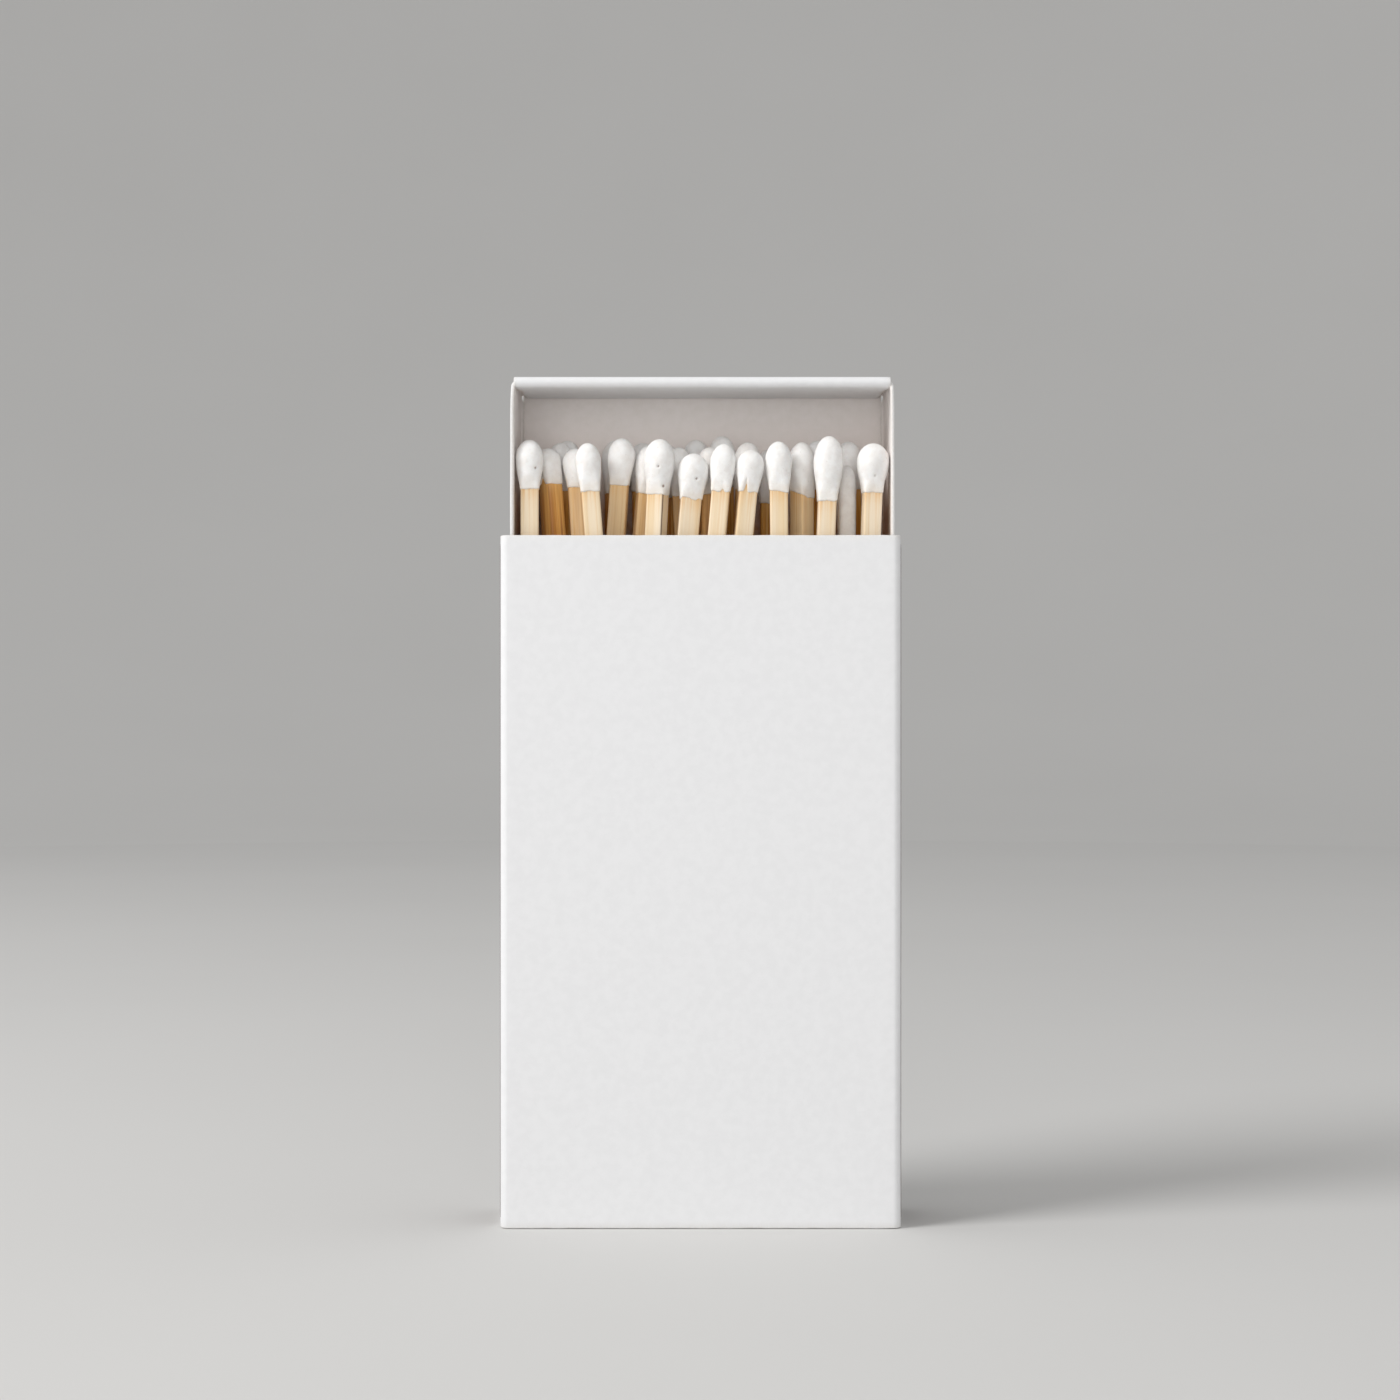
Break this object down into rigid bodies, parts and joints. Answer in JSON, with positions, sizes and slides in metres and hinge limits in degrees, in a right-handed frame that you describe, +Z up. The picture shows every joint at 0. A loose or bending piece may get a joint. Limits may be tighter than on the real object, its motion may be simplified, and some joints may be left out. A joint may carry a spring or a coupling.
{
  "type": "matchbox",
  "caption": "Plain folded card matchbox standing on end, its sliding tray drawn part way out with white-headed wooden matches standing in it.",
  "frame": {"origin": "on the surface that the box stands on, under the middle of the sleeve", "axes": "+Z up along the box's length, the way the tray slides out; X across the wide face; -Y out of the front wide face, the side on which the tray is open"},
  "size_m": [0.0502, 0.015, 0.1063],
  "materials": {
    "white_card": "matte",
    "striking_coat": "gritty matte",
    "splint_wood": "bare planed aspen",
    "head_paste": "chalky matte"
  },
  "bodies": {
    "sleeve": {"sleeve": "white_card", "striker_left": "striking_coat", "striker_right": "striking_coat"},
    "tray": {"tray": "white_card", "match_01_splint": "splint_wood", "match_01_head": "head_paste", "match_02_splint": "splint_wood", "match_02_head": "head_paste", "match_03_splint": "splint_wood", "match_03_head": "head_paste", "match_04_splint": "splint_wood", "match_04_head": "head_paste", "match_05_splint": "splint_wood", "match_05_head": "head_paste", "match_06_splint": "splint_wood", "match_06_head": "head_paste", "match_07_splint": "splint_wood", "match_07_head": "head_paste", "match_08_splint": "splint_wood", "match_08_head": "head_paste", "match_09_splint": "splint_wood", "match_09_head": "head_paste", "match_10_splint": "splint_wood", "match_10_head": "head_paste", "match_11_splint": "splint_wood", "match_11_head": "head_paste", "match_12_splint": "splint_wood", "match_12_head": "head_paste", "match_13_splint": "splint_wood", "match_13_head": "head_paste", "match_14_splint": "splint_wood", "match_14_head": "head_paste", "match_15_splint": "splint_wood", "match_15_head": "head_paste", "match_16_splint": "splint_wood", "match_16_head": "head_paste", "match_17_splint": "splint_wood", "match_17_head": "head_paste", "match_18_splint": "splint_wood", "match_18_head": "head_paste", "match_19_splint": "splint_wood", "match_19_head": "head_paste", "match_20_splint": "splint_wood", "match_20_head": "head_paste", "match_21_splint": "splint_wood", "match_21_head": "head_paste", "match_22_splint": "splint_wood", "match_22_head": "head_paste", "match_23_splint": "splint_wood", "match_23_head": "head_paste", "match_24_splint": "splint_wood", "match_24_head": "head_paste", "match_25_splint": "splint_wood", "match_25_head": "head_paste", "match_26_splint": "splint_wood", "match_26_head": "head_paste", "match_27_splint": "splint_wood", "match_27_head": "head_paste", "match_28_splint": "splint_wood", "match_28_head": "head_paste"}
  },
  "joints": [
    {"name": "tray_slide", "type": "slide", "parent": "sleeve", "child": "tray", "axis": [0, 0, 1], "range_m": [-0.02005, 0.056]}
  ]
}
